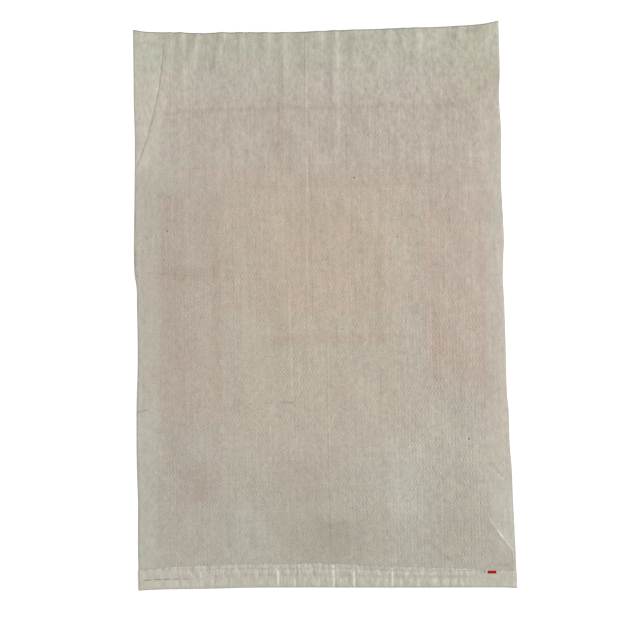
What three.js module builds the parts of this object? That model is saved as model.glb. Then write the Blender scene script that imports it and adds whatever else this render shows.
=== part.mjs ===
// Empty woven polypropylene sack lying flat.
//
// The sack is a circular-woven tube pressed flat, so that it folds along both sides without a side seam.
// Its mouth is open at +Y. At the closed end, -Y, both layers are turned over once onto the front, and this
// flap is sewn down. The front layer stands a little proud of the back one, so the mouth gapes.
// Millimetres, +Z up, origin under the middle of the sack on the surface that it lies on.

import * as THREE from 'three';

// Cloth
const CLOTH = 1.0; // thickness of the woven cloth
const LAYER_GAP = 0.4; // air between layers that lie on each other
const FOLD_RADIUS = CLOTH + LAYER_GAP / 2; // outside of the fold along each side
const TUBE_HEIGHT = 2 * FOLD_RADIUS; // the flattened tube where nothing lifts it
const TURN_HEIGHT = TUBE_HEIGHT + LAYER_GAP / 2; // axis that the end of the tube is turned over about

// Outline of the sack, uneven as it lies: where its two side folds run
const SIDE_FOLDS = [
  { y: -418, left: -274, right: 277 },
  { y: -350, left: -273.6, right: 276.2 },
  { y: -290, left: -273.4, right: 274.9 },
  { y: -247, left: -274.6, right: 274.4 },
  { y: -213, left: -275.4, right: 272.6 },
  { y: -160, left: -275, right: 272.4 },
  { y: -142, left: -274.5, right: 270.8 },
  { y: -80, left: -272, right: 271 },
  { y: 0, left: -272.8, right: 270.8 },
  { y: 27, left: -273.2, right: 269.8 },
  { y: 45, left: -275.8, right: 270.4 },
  { y: 62, left: -276.7, right: 271.4 },
  { y: 88, left: -277, right: 273.2 },
  { y: 177, left: -275.6, right: 271.3 },
  { y: 250, left: -274.5, right: 273.6 },
  { y: 304, left: -276, right: 272 },
  { y: 340, left: -276.6, right: 274.4 },
  { y: 418, left: -276.2, right: 274.8 },
];

// The cut edge of the mouth, and the fold that closes the other end
const MOUTH_EDGE = [
  { x: -276, y: 418.5 },
  { x: -256, y: 414.3 },
  { x: -201, y: 411.7 },
  { x: -174, y: 408.5 },
  { x: -147, y: 408.7 },
  { x: -83, y: 407.2 },
  { x: -20, y: 405.9 },
  { x: 34, y: 407.2 },
  { x: 115, y: 408.5 },
  { x: 196, y: 409.5 },
  { x: 250, y: 414.5 },
  { x: 275, y: 418.5 },
];
const END_FOLD = [
  { x: -274, y: -414.8 },
  { x: -262, y: -413.4 },
  { x: -226, y: -412.6 },
  { x: -121, y: -412.7 },
  { x: -37, y: -414 },
  { x: 108, y: -416 },
  { x: 261, y: -418.2 },
  { x: 277, y: -418.5 },
];
const MOUTH_Y = 414; // about where the mouth lies, to find a column's place along its edge
const END_Y = -415; // and about where the end fold lies

// The sewn flap: how far its top layer reaches from the end fold, and how far the one under it shows past it
const FLAP = [
  { x: -274, reach: 28.6, under: 0 },
  { x: -180, reach: 28, under: 2 },
  { x: -80, reach: 27.2, under: 5 },
  { x: 10, reach: 27.2, under: 6 },
  { x: 80, reach: 25.2, under: 6 },
  { x: 150, reach: 23.5, under: 5 },
  { x: 210, reach: 23.5, under: 2.8 },
  { x: 277, reach: 23, under: 0 },
];
const SEAM_SHARE = 0.54; // place of the sewn line between the fold and the flap's edge
const FLAP_SWELL = 0.6; // how far the flap swells on either side of the sewn line
const FLAP_FLAT = [{ from: -252, to: -272 }, { from: 200, to: 225 }]; // where the swell dies out at each end
const SEAM_PINCH = 0.4; // share of a pleat's height that is left at the sewn line

// Pleats pinched into the flap's top layer: crest height, half width, and the shares of the flap they cross
const PLEATS = [
  { x: -148, height: 0.6, half: 6, from: 0.1, to: 1 },
  { x: -68.5, height: 1.2, half: 3, from: 0, to: 1 },
  { x: -39.5, height: 1.3, half: 3, from: 0, to: 1 },
  { x: -9.5, height: 0.9, half: 3, from: 0, to: 0.5 },
  { x: 12, height: 1.4, half: 3, from: 0, to: 1 },
  { x: 41.5, height: 1.1, half: 3, from: 0, to: 0.5 },
  { x: 75, height: 1.0, half: 4, from: 0, to: 0.5 },
  { x: 97, height: 1.3, half: 3, from: 0, to: 1 },
  { x: 136, height: 0.8, half: 5, from: 0, to: 0.9 },
];

// How far the front layer stands off the back one along the middle of the sack
const STAND_OFF = [
  { y: -418, lift: 5.6 },
  { y: -150, lift: 6.2 },
  { y: 50, lift: 5.9 },
  { y: 250, lift: 6.4 },
  { y: 418, lift: 8 },
];
const SIDE_RISE = 62; // the front layer rises over this width in from each side fold
const HEM_RISE = { from: 38, to: 120 }; // and over this stretch, measured from the end fold

// A crease cuts off the upper left corner, which lies flat outside it
const CORNER_CREASE = [
  { y: 190, x: -278 },
  { y: 264, x: -250.5 },
  { y: 310, x: -238.5 },
  { y: 356, x: -230.5 },
  { y: 418, x: -228.5 },
];

// Ripples that run down the front from the mouth and die out: crest height, half width and length
const RIPPLES = [
  { x: -199, height: 0.8, half: 10, length: 90 },
  { x: -177, height: 1.0, half: 11, length: 110 },
  { x: -139, height: 0.9, half: 16, length: 120 },
  { x: -106, height: 1.2, half: 16, length: 100 },
  { x: -71, height: 0.9, half: 14, length: 120 },
  { x: -43, height: 1.0, half: 13, length: 150 },
  { x: 7, height: 0.9, half: 14, length: 130 },
  { x: 33, height: 1.3, half: 12, length: 230 },
  { x: 68, height: 0.9, half: 15, length: 140 },
  { x: 117, height: 0.8, half: 18, length: 110 },
  { x: 158, height: 1.2, half: 12, length: 230 },
  { x: 182, height: 0.7, half: 11, length: 90 },
  { x: 213, height: 0.8, half: 14, length: 100 },
];

// A small plain tab sewn on the flap at the right
const TAB = { x: 241.5, width: 12.6, height: 5, thickness: 1, corner: 0.9, fromEdge: 0.5, clearance: 0.3 };

// Fineness of the mesh
const SIDE_STEPS = 4; // steps around the half circle of a side fold
const TURN_STEPS = 4; // steps around the turn at the end fold
const BODY_STEP = 38; // length of the plain rows of the body
const MOUTH_ROWS = [0, 8, 20, 37, 60]; // distances of the rows near the mouth from its edge
const HEM_ROWS = [20, 40, 58, 80, 106]; // distances of the rows near the end fold from it
const NOMINAL_LENGTH = 828; // length that these distances are shares of
const FLAP_ROWS = [0.13, 0.32, SEAM_SHARE, 0.76, 1]; // shares of the flap's reach
const SIDE_COLUMNS = [0.012, 0.035, 0.075]; // columns near each side, as shares of the width
const WIDEST_COLUMN = 0.055; // a wider space between columns is halved

const CLOTH_COLOUR = '#b9b0a2';
const TAB_COLOUR = '#8c1015';

/** Rises smoothly from 0 at `from` to 1 at `to`. */
const rise = (value, from, to) => THREE.MathUtils.smoothstep(value, from, to);

/** A straight-sided crest, 1 at its middle and 0 at its half width. */
const crest = (distance, half) => Math.max(0, 1 - Math.abs(distance) / half);

/** Smooth curve through a table: the value of `column` where the column `by` has the value `at`. */
function readTable(rows, by, column, at) {
  const last = rows.length - 1;
  const place = THREE.MathUtils.clamp(at, rows[0][by], rows[last][by]);
  let i = 0;
  while (i < last - 1 && rows[i + 1][by] < place) {
    i += 1;
  }
  const slope = (a, b) => (rows[b][column] - rows[a][column]) / (rows[b][by] - rows[a][by]);
  const span = rows[i + 1][by] - rows[i][by];
  const t = (place - rows[i][by]) / span;
  const startSlope = slope(Math.max(i - 1, 0), i + 1) * span;
  const endSlope = slope(i, Math.min(i + 2, last)) * span;
  const towardsEnd = t * t * (3 - 2 * t);
  const fromStart = t * (1 - t) * (1 - t);
  const fromEnd = t * t * (t - 1);
  return rows[i][column] * (1 - towardsEnd) + rows[i + 1][column] * towardsEnd
    + startSlope * fromStart + endSlope * fromEnd;
}

const leftFold = (y) => readTable(SIDE_FOLDS, 'y', 'left', y);
const rightFold = (y) => readTable(SIDE_FOLDS, 'y', 'right', y);

/** Share of the flat width, between the side folds, at which x lies at the height y of the sack. */
function shareAt(x, y) {
  const start = leftFold(y) + FOLD_RADIUS;
  const end = rightFold(y) - FOLD_RADIUS;
  return (x - start) / (end - start);
}

/** Front layer: how far it stands off the back one, by the sack's puff and the ripples at its mouth. */
function bodyLift(x, y, fromEnd, fromMouth) {
  const leftLimit = Math.max(leftFold(y), readTable(CORNER_CREASE, 'y', 'x', y));
  const sides = rise(x - leftLimit, 0, SIDE_RISE) * rise(rightFold(y) - x, 0, SIDE_RISE);
  const hem = rise(fromEnd, HEM_RISE.from, HEM_RISE.to);
  const puff = readTable(STAND_OFF, 'y', 'lift', y) * sides * hem;
  const ripples = RIPPLES.map((ripple) => ripple.height * crest(x - ripple.x, ripple.half)
    * (1 - rise(fromMouth, 0, ripple.length)));
  return puff + Math.max(...ripples);
}

/** Flap's top layer: how far it stands up between the fold, the sewn line and its edge. */
function flapLift(x, share) {
  const half = share < SEAM_SHARE ? share / SEAM_SHARE : (share - SEAM_SHARE) / (1 - SEAM_SHARE);
  const ends = FLAP_FLAT.map((end) => 1 - rise((x - end.from) / (end.to - end.from), 0, 1));
  const swell = FLAP_SWELL * Math.sin(Math.PI * half) * Math.min(...ends);
  const pinch = share === SEAM_SHARE ? SEAM_PINCH : 1;
  const pleats = PLEATS.filter((pleat) => share >= pleat.from && share <= pleat.to)
    .map((pleat) => pleat.height * pinch * crest(x - pleat.x, pleat.half));
  return share === 0 ? 0 : swell + Math.max(0, ...pleats);
}

/** Shares of the width for one layer's columns: its features, the sides, and a halving of wide spaces. */
function spreadColumns(features) {
  const fixed = [0, ...SIDE_COLUMNS, ...features, ...SIDE_COLUMNS.map((share) => 1 - share), 1];
  fixed.sort((a, b) => a - b);
  return fixed.flatMap((share, i) => {
    const next = fixed[i + 1];
    const wide = next !== undefined && next - share > WIDEST_COLUMN;
    return wide ? [share, (share + next) / 2] : [share];
  });
}

/** The columns around the flattened tube: back layer, right fold, front layer, left fold. */
function tubeColumns() {
  const crests = RIPPLES.map((ripple) => shareAt(ripple.x, MOUTH_Y));
  const troughs = crests.slice(1).map((share, i) => (share + crests[i]) / 2);
  const pleats = PLEATS.flatMap((pleat) => (
    [-pleat.half, 0, pleat.half].map((step) => shareAt(pleat.x + step, END_Y))));
  const back = spreadColumns(pleats).map((share) => ({ layer: 'back', share }));
  const front = spreadColumns([...crests, ...troughs]).reverse().map((share) => ({ layer: 'front', share }));
  const angles = Array.from({ length: SIDE_STEPS - 1 }, (_, i) => Math.PI * ((i + 1) / SIDE_STEPS - 0.5));
  const rightSide = angles.map((angle) => ({ layer: 'side', share: 1, side: 1, angle }));
  const leftSide = angles.map((angle) => ({ layer: 'side', share: 0, side: -1, angle: -angle }));
  return [...back, ...rightSide, ...front, ...leftSide];
}

/** The rows along the tube: from the mouth down the body, round the turn and up the flap. */
function tubeRows() {
  const near = MOUTH_ROWS[MOUTH_ROWS.length - 1];
  const far = NOMINAL_LENGTH - HEM_ROWS[HEM_ROWS.length - 1];
  const plainRows = Math.round((far - near) / BODY_STEP);
  const plain = Array.from({ length: plainRows - 1 }, (_, i) => near + ((i + 1) * (far - near)) / plainRows);
  const hem = HEM_ROWS.map((distance) => NOMINAL_LENGTH - distance).reverse();
  const body = [...MOUTH_ROWS, ...plain, ...hem, NOMINAL_LENGTH].map((distance) => (
    { part: 'body', share: 1 - distance / NOMINAL_LENGTH }));
  const turn = Array.from({ length: TURN_STEPS }, (_, i) => (
    { part: 'turn', angle: (Math.PI * (i + 1)) / TURN_STEPS }));
  const flap = FLAP_ROWS.map((share) => ({ part: 'flap', share }));
  return [...body, ...turn, ...flap];
}

/** Place across the sack of a column on one skin of the cloth, at the height y. */
function acrossAt(column, skin, y) {
  const start = leftFold(y) + FOLD_RADIUS;
  const end = rightFold(y) - FOLD_RADIUS;
  const bulge = column.layer === 'side' ? column.side * foldRadius(skin) * Math.cos(column.angle) : 0;
  return start + column.share * (end - start) + bulge;
}

const foldRadius = (skin) => (skin === 'outer' ? FOLD_RADIUS : FOLD_RADIUS - CLOTH);

/** Height of a column above the tube's underside, on one skin of the cloth. */
function heightOf(column, skin, lift) {
  const inwards = skin === 'outer' ? 0 : CLOTH;
  if (column.layer === 'back') {
    return inwards;
  }
  if (column.layer === 'front') {
    return TUBE_HEIGHT - inwards + lift;
  }
  return FOLD_RADIUS + foldRadius(skin) * Math.sin(column.angle);
}

/** Point of the sack at one row and column, on the outer or inner skin of the cloth. */
function tubePoint(row, column, skin) {
  const endX = acrossAt(column, skin, END_Y);
  const foldY = readTable(END_FOLD, 'x', 'y', endX);
  const mouthY = readTable(MOUTH_EDGE, 'x', 'y', acrossAt(column, skin, MOUTH_Y));
  const axisY = foldY + TURN_HEIGHT;
  if (row.part === 'body') {
    const y = axisY + row.share * (mouthY - axisY);
    const x = acrossAt(column, skin, y);
    return [x, y, heightOf(column, skin, bodyLift(x, y, y - foldY, mouthY - y))];
  }
  const radius = TURN_HEIGHT - heightOf(column, skin, 0);
  if (row.part === 'turn') {
    const y = axisY - radius * Math.sin(row.angle);
    return [acrossAt(column, skin, y), y, TURN_HEIGHT - radius * Math.cos(row.angle)];
  }
  const under = column.layer === 'front' ? readTable(FLAP, 'x', 'under', endX) : 0;
  const reach = readTable(FLAP, 'x', 'reach', endX) + under;
  const y = axisY + row.share * (reach - TURN_HEIGHT);
  const lift = column.layer === 'back' ? flapLift(endX, row.share) : 0;
  return [acrossAt(column, skin, y), y, TURN_HEIGHT + radius + lift];
}

/** The whole sack as one closed shell: outer skin, inner skin, and the cut edges at mouth and flap. */
function sackGeometry() {
  const rows = tubeRows();
  const columns = tubeColumns();
  const points = ['outer', 'inner'].flatMap((skin) => rows.flatMap((row) => (
    columns.flatMap((column) => tubePoint(row, column, skin)))));
  const count = columns.length;
  const outer = (row, column) => row * count + (column % count);
  const inner = (row, column) => outer(row, column) + rows.length * count;
  const triangles = [];
  const addQuad = (a, b, c, d) => triangles.push(a, b, c, a, c, d);
  const lastRow = rows.length - 1;
  for (let column = 0; column < count; column += 1) {
    for (let row = 0; row < lastRow; row += 1) {
      addQuad(outer(row, column), outer(row, column + 1),
        outer(row + 1, column + 1), outer(row + 1, column));
      addQuad(inner(row, column), inner(row + 1, column),
        inner(row + 1, column + 1), inner(row, column + 1));
    }
    addQuad(outer(0, column), inner(0, column), inner(0, column + 1), outer(0, column + 1));
    addQuad(outer(lastRow, column), outer(lastRow, column + 1),
      inner(lastRow, column + 1), inner(lastRow, column));
  }
  const geometry = new THREE.BufferGeometry();
  geometry.setAttribute('position', new THREE.Float32BufferAttribute(points, 3));
  geometry.setIndex(triangles);
  geometry.computeVertexNormals();
  return geometry;
}

/** The tab: a flat rectangle with rounded corners. */
function tabGeometry() {
  const halfWidth = TAB.width / 2 - TAB.corner;
  const halfHeight = TAB.height / 2 - TAB.corner;
  const outline = new THREE.Shape();
  outline.absarc(halfWidth, halfHeight, TAB.corner, 0, Math.PI / 2);
  outline.absarc(-halfWidth, halfHeight, TAB.corner, Math.PI / 2, Math.PI);
  outline.absarc(-halfWidth, -halfHeight, TAB.corner, Math.PI, 1.5 * Math.PI);
  outline.absarc(halfWidth, -halfHeight, TAB.corner, 1.5 * Math.PI, 2 * Math.PI);
  return new THREE.ExtrudeGeometry(outline, { depth: TAB.thickness, bevelEnabled: false, curveSegments: 4 });
}

function makeSack() {
  const material = new THREE.MeshStandardMaterial({ color: CLOTH_COLOUR, roughness: 0.5, metalness: 0 });
  const mesh = new THREE.Mesh(sackGeometry(), material);
  mesh.name = 'sack';
  return mesh;
}

/** The tab lies on the flap, just inside the cut edge of its top layer. */
function makeTab() {
  const material = new THREE.MeshStandardMaterial({ color: TAB_COLOUR, roughness: 0.6, metalness: 0 });
  const mesh = new THREE.Mesh(tabGeometry(), material);
  mesh.name = 'red_tab';
  const edgeY = readTable(END_FOLD, 'x', 'y', TAB.x) + readTable(FLAP, 'x', 'reach', TAB.x);
  mesh.position.set(TAB.x, edgeY - TAB.fromEdge - TAB.height / 2, 2 * TURN_HEIGHT + TAB.clearance);
  return mesh;
}

const wovenSack = new THREE.Group();
wovenSack.add(makeSack(), makeTab());

export default wovenSack;
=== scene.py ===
"""Looks of an empty woven polypropylene sack lying flat: its cloth, its sewing and its red tab.

Lengths are in millimetres and become metres where a mesh or a light is made. The sack is a woven tube pressed
flat, with its mouth at +Y. At -Y both layers are turned over once onto the front, and this flap is sewn down.
"""

import math
from types import SimpleNamespace as Values

import bpy
import numpy as np
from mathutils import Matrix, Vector


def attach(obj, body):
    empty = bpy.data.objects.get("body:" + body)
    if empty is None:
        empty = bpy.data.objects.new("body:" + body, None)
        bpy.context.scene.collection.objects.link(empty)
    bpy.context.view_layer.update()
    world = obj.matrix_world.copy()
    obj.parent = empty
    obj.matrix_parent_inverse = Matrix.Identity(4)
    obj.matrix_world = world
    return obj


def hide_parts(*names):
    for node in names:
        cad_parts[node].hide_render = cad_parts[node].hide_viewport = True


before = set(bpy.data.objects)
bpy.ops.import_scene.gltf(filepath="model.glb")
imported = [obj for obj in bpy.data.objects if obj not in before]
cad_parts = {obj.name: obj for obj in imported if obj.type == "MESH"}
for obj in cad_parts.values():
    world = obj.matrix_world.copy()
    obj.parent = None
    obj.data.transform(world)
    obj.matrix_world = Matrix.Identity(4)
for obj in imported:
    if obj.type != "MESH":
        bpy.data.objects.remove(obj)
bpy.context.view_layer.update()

MM = 0.001
SEED = 11


def table(columns, *rows):
    """Rows of values that are read by the names of their columns."""
    return [Values(**dict(zip(columns.split(), row))) for row in rows]


# Cloth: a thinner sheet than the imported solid, on the same folds
CLOTH = 0.4
LAYER_GAP = 0.4
TURN_GAP = 0.1
FOLD_RADIUS = CLOTH + LAYER_GAP / 2
TURN_HEIGHT = 2 * FOLD_RADIUS + TURN_GAP
FLAT_WIDTH = 1100

# Outline as it lies: where the two side folds run
SIDE_FOLDS = table(
    "y left right",
    (-418, -271.1, 277),
    (-350, -272.2, 276.2),
    (-290, -271.7, 274.9),
    (-247, -272.8, 274.4),
    (-213, -273.3, 272.6),
    (-160, -273.1, 272.4),
    (-142, -272.8, 270.8),
    (-80, -270.7, 271),
    (0, -271.4, 270.8),
    (27, -271.6, 269.8),
    (45, -274.4, 270.4),
    (62, -275.3, 271.4),
    (88, -275.5, 273.2),
    (177, -273.8, 271.6),
    (250, -273, 273.9),
    (304, -274.2, 272.3),
    (340, -274.3, 274.6),
    (418, -274.8, 274.8),
)
HALF_WIDTH = 275

# The cut edge of the mouth, and the fold that closes the other end
MOUTH_EDGE = table(
    "x y",
    (-276, 418.5),
    (-256, 414.7),
    (-201, 411.9),
    (-174, 409.1),
    (-147, 409),
    (-83, 406.7),
    (-20, 405.8),
    (34, 407),
    (115, 408),
    (196, 409.8),
    (250, 413.6),
    (275, 418.5),
)
END_FOLD = table(
    "x y",
    (-274, -415.8),
    (-262, -414.8),
    (-226, -414),
    (-160, -414),
    (-121, -413.4),
    (-37, -414.2),
    (108, -416.5),
    (261, -418.5),
    (277, -419.5),
)
MOUTH_Y = 414
END_Y = -415

# The sewn flap: reach of its top layer from the end fold, how far the layer under it shows past it, and the
# share of its reach at which the sewn line runs
FLAP = table(
    "x reach under seam",
    (-274, 29, 0, 0.465),
    (-230, 28.9, 2, 0.48),
    (-180, 28.2, 5, 0.49),
    (-80, 27.2, 6.4, 0.51),
    (10, 27.2, 7, 0.525),
    (80, 25.2, 6, 0.53),
    (150, 23.5, 5, 0.54),
    (210, 23.7, 2.8, 0.54),
    (277, 24.2, 0, 0.53),
)

# Shares of the flap's reach over which it swells from its seam and its fold, how far it swells, where the
# swell dies out at each end, how unevenly its edge is cut and how far this edge is pressed down
SEAM_REACH = 0.25
FOLD_REACH = 0.125
FLAP_SWELL = 0.12
FLAP_FLAT = [Values(start=-252, end=-272), Values(start=200, end=225)]
FRAY = 0.5
EDGE_DROP = Values(start=0.8, by=0.3)

# Creases that pinch the flap into bulges, below the sewn line and above it, and how high the bulges stand
LOW_CREASES = (-275, -262, -240, -221, -211, -200, -189, -177.6, -149.3, -130, -108.5, -90, -68.7, -41, -7.8,
               12.6, 27, 43.8, 60, 76.4, 96.7, 112, 137.4, 160.6, 178, 190, 205, 214, 230, 250, 275)
HIGH_CREASES = (-275, -262, -235, -219.7, -203.7, -189, -177.6, -150, -124, -98, -85, -68.7, -39, -21,
                12.6, 23, 46.7, 63.4, 83.7, 96.7, 120, 144.6, 170, 195, 225, 250, 275)
BULGE = Values(share=0.06, most=1.1, roundness=0.8, at_edge=0.2)

# Pleats pinched into the flap: crest height and half width, shares of the flap that they cross, and the half
# width and tone of the line along the crest: light where the cloth is whitened, with a painted highlight on
# it, and dark as painted shade where it is tucked in
PLEATS = table(
    "x height half start end line tone",
    (-265, 0, 3, 0.56, 0.98, 5, 0.1),
    (-207, 0, 4, 0.55, 1, 3, -0.14),
    (-181, 0.4, 4, 0.1, 0.9, 2.6, 0.1),
    (-148, 0.4, 5, 0.1, 1, 2.6, 0.08),
    (-68.5, 1.0, 3.5, 0, 0.93, 2.6, 0.46),
    (-37.5, 0.7, 3.5, 0.5, 0.93, 2, 0.3),
    (-41, 0, 3.5, 0, 1, 1.8, -0.2),
    (-44, 0.6, 3.5, 0, 0.42, 2.4, 0.3),
    (-9.5, 0.6, 3.5, 0, 0.45, 2.2, 0.3),
    (12, 1.2, 3.5, 0, 0.93, 3, 0.56),
    (15.6, 0, 3.5, 0, 1, 1.6, -0.2),
    (41.5, 0.8, 3.5, 0, 0.8, 2.6, 0.44),
    (45, 0, 3.5, 0, 1, 1.6, -0.2),
    (47.5, 0.5, 3.5, 0.5, 0.93, 1.8, 0.16),
    (76, 0.8, 4, 0, 0.5, 2.6, 0.26),
    (97, 1.1, 3.5, 0, 0.93, 2.4, 0.44),
    (100, 0, 3.5, 0.4, 1, 1.6, -0.14),
    (108.5, 0.6, 5, 0, 0.5, 2.8, 0.16),
    (116.5, 0.6, 5, 0.5, 0.9, 4, 0.15),
    (135, 0.6, 5, 0, 0.5, 3.5, 0.18),
    (146, 0.5, 5, 0.5, 0.9, 4, 0.12),
    (158.5, 0.5, 5, 0, 0.5, 3.5, 0.16),
    (272.8, 0, 3, 0, 1, 1.5, 0.2),
)
PLEAT_ENDS = 0.06

# How far the front layer stands off the back one along the middle of the sack
STAND_OFF = table(
    "y lift",
    (-418, 5.6),
    (-150, 6.2),
    (50, 5.9),
    (250, 6.4),
    (418, 8),
)

# Widths over which the front layer rises from its side folds, from the corner's crease and from the flap
SIDE_RISE = Values(left=62, corner=140)
RIGHT_RISE = table(
    "y reach",
    (-418, 60),
    (150, 85),
    (230, 120),
    (320, 200),
    (418, 200),
)
HEM_RISE = Values(start=38, end=120)

# Distances from the edges over which the ripples and creases set in, and the share of a crease that fades out
LOOSE_FROM = Values(left=18, right=95, hem=34, hem_full=60)
CREASE_FROM_SIDE = 6
CREASE_ENDS = 0.25

# The crease that cuts off the upper left corner, a parabola upright at its top
CORNER = Values(low_y=190, high_y=418, top_x=-228.5, sweep=49.5,
                lip=0.5, lip_half=7, lip_from=200, lip_full=250)
# Painted shade of the corner's crease: a fine dark line, with a painted highlight beside it
CORNER_SHADING = Values(half=1.8, tone=-0.28, light_aside=3, light_half=3, light=0.05,
                     start=0.92, full=0.87, low=0.1)

# Ripples that run down the front from the mouth, lean to one side or the other and die out
RIPPLES = table(
    "x lean height half length",
    (-221, -0.2, 1.3, 8, 50),
    (-204, 0, 1.8, 8, 75),
    (-176, -0.4, 2, 9, 130),
    (-140, -0.17, 2.2, 10, 100),
    (-113.5, 0.08, 1.4, 10, 150),
    (-97.5, 0.03, 0.7, 7, 130),
    (-76, 0, 1.3, 8, 65),
    (-48.5, 0, 1.5, 8, 190),
    (-5, -0.17, 0.9, 7, 130),
    (3, 0, 1.6, 7, 60),
    (26.5, 0, 2, 9, 230),
    (56, 0, 1.1, 8, 150),
    (110, 0, 1.4, 9, 55),
    (132, 0, 0.8, 7, 110),
    (151, 0, 1.5, 8, 130),
    (216, -0.2, 1, 10, 100),
)
FINE_RIPPLE = Values(step=17, height=0.12, length=90, drifts=[Values(by=6, over=41), Values(by=4, over=23)])

# Slow waves all over the front layer
WAVES = Values(count=14, shortest=55, longest=190, height=0.16)

# Creases of the front layer from one point to another: ridge or trough, and the tone of the fine line on it,
# which is a painted highlight where a flank or fold faces the key and painted shade in troughs and on flanks
# turned away
CREASES = table(
    "start end height half line tone",
    ((238, -316), (260, -350), 0.6, 6, 2.2, 0.3),
    ((249, -334), (275, -368), 0.6, 6, 2.2, 0.34),
    ((273.2, -362), (274.4, -419), 0, 4, 1.4, 0.2),
    ((271, -265), (273.4, -385), 0, 4, 1.8, 0.1),
    ((236, -243), (266, -266), 0.6, 8, 3, 0.09),
    ((240, -232), (262, -262), -0.3, 6, 3, -0.12),
    ((-274, -158), (-256, -153), -0.2, 5, 1.6, -0.34),
    ((-262, -155), (-43, -145), -0.15, 9, 1.8, -0.05),
    ((-64, -146), (-40, -146.5), -0.15, 6, 2.4, -0.2),
    ((-276, 50), (-69, 34), -0.25, 12, 2.2, -0.05),
    ((-80, 34), (160, 31), -0.2, 12, 2.2, 0.025),
    ((140, 31), (272, 36), -0.25, 12, 2.2, -0.03),
    ((-262, 291), (252, 290), -0.15, 10, 6, -0.08),
    ((274, 296), (224, 226), 0.5, 14, 7, 0.03),
    ((-104, -345), (-46, -360), 0.2, 5, 1.4, 0.03),
    ((146, -346), (183, -381), -0.25, 7, 5, -0.13),
    ((-273, 111), (-255, 101.5), 0, 4, 1.6, -0.1),
    ((-257, 100), (-246, 107.5), 0, 4, 1.6, -0.09),
    ((-273.6, 143), (-274.2, 116), 0, 4, 2.2, -0.2),
    ((-273.6, 84), (-273.2, 56), 0, 4, 2.2, -0.2),
    ((269, -131.5), (240, -149), 0.3, 6, 2, 0.09),
    ((262, -141), (245, -155), -0.2, 6, 2.4, -0.06),
    ((263, 82), (266, 38), 0.4, 8, 9, 0.07),
    ((252, 72), (272, 78.5), -0.3, 4, 1.8, -0.12),
    ((254, 93), (271, 79), 0.3, 5, 2, 0.08),
    ((250, 33), (270, 36), -0.25, 4, 2.6, -0.13),
    ((219, 69.5), (231, 68.5), 0, 4, 1.5, -0.16),
    ((213, 86.5), (223, 86), 0, 4, 1.4, -0.1),
    ((244, -386), (269, -387), 0, 4, 3.6, -0.12),
    ((236, 388), (202, 335), 0.3, 12, 7, 0.05),
    ((203, 341), (222, 321), -0.2, 8, 3, -0.05),
)

# Straight light and dark lines that run down the front
STREAKS = table(
    "start end line tone",
    ((-49, 416), (-53, 170), 1.6, -0.06),
    ((-45.5, 445), (-51, 120), 1.4, 0.1),
    ((-54, 400), (-58, 200), 7, -0.04),
    ((-12.5, 440), (-17, 150), 1.3, 0.2),
    ((-15, 230), (-19, 18), 1.3, 0.24),
    ((-15.2, 440), (-19, 250), 1.3, -0.12),
    ((10.5, 425), (9, 330), 1.6, 0.12),
    ((9.5, 345), (8, 230), 1.6, 0.1),
    ((4, 275), (3, 225), 1.6, -0.08),
    ((34, 425), (32, 195), 2.6, 0.1),
    ((43, 265), (42.5, 190), 1.6, -0.12),
    ((57, 400), (56, 290), 1.3, 0.05),
    ((79, 310), (79, 205), 2.6, 0.06),
    ((-46, 25), (-43, -145), 1.3, 0.16),
    ((10.5, -10), (9.8, -260), 1.3, 0.13),
    ((10, 98), (7.6, -5), 1.3, 0.2),
    ((6.9, -110), (8.8, -385), 1.5, -0.1),
    ((160, 300), (160, -60), 1.3, 0.05),
    ((133, 200), (131, -200), 1.3, -0.05),
    ((163, 120), (160, -230), 1.3, 0.06),
)
LINE_TAPER = 0.14

# Painted highlights along the crests and painted shade along the flanks of the ripples at the mouth, as fine
# light and dark lines
CREST_HIGHLIGHTS_AND_SHADE = table(
    "start end line tone",
    ((-214, 416), (-214.2, 374), 3, 0.05),
    ((-196.8, 416), (-198.6, 345), 3, 0.08),
    ((-176, 416), (-181.4, 350), 3, 0.08),
    ((-133, 413), (-147.5, 360), 3, 0.07),
    ((-105.6, 413), (-105.9, 374), 3, 0.06),
    ((-69.5, 412), (-70.3, 350), 3, 0.05),
    ((-192.5, 416), (-193.2, 372), 3, -0.07),
    ((-165.7, 413), (-166.3, 360), 3.5, -0.07),
    ((-152.2, 392), (-154.5, 350), 3, -0.05),
    ((-115.2, 408), (-115.9, 356), 3, -0.06),
    ((-82, 414), (-82.8, 350), 3, -0.05),
)

# Fineness of the mesh: each stretch runs on to a place with about this step
FRONT_COLUMNS = [Values(until=-262, step=2.6), Values(until=225, step=4.8), Values(until=275, step=2.6)]
BACK_COLUMNS = [Values(until=275, step=3.1)]
BODY_ROWS = [
    Values(until=24, step=3),
    Values(until=120, step=4.6),
    Values(until=700, step=8.5),
    Values(until=828, step=4.1),
]
NOMINAL_LENGTH = 828
NOMINAL_FLAP = 27
FOLD_STEPS = 4
TURN_STEPS = 6
FLAP_ROWS = 18
SHARP_CLOTH = math.radians(60)

# Layout of the cloth on a square image for baking: the front and the flap, which show, get the most room
BAKE_BOXES = {
    "front": Values(u=(0.005, 0.655), v=(0.045, 0.995)),
    "flap": Values(u=(0.005, 0.655), v=(0.005, 0.038)),
    "back": Values(u=(0.665, 0.9), v=(0.045, 0.995)),
    "inner": Values(u=(0.91, 0.995), v=(0.045, 0.995)),
    "rim": Values(u=(0.665, 0.995), v=(0.005, 0.038)),
}
BAKE_FOLD = 0.004


def rise(value, start, end):
    """Goes smoothly from 0 at start to 1 at end."""
    share = np.clip((value - start) / (end - start), 0, 1)
    return share * share * (3 - 2 * share)


def swell(value, reach):
    """Goes from 0 to 1 over the reach, steep at first and ever flatter."""
    left = 1 - np.clip(value / reach, 0, 1)
    return 1 - left * left


def crest(distance, half):
    """Soft hump, 1 in its middle and 0 from its half width on."""
    return 0.5 + 0.5 * np.cos(np.pi * np.clip(np.abs(distance) / half, 0, 1))


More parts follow.
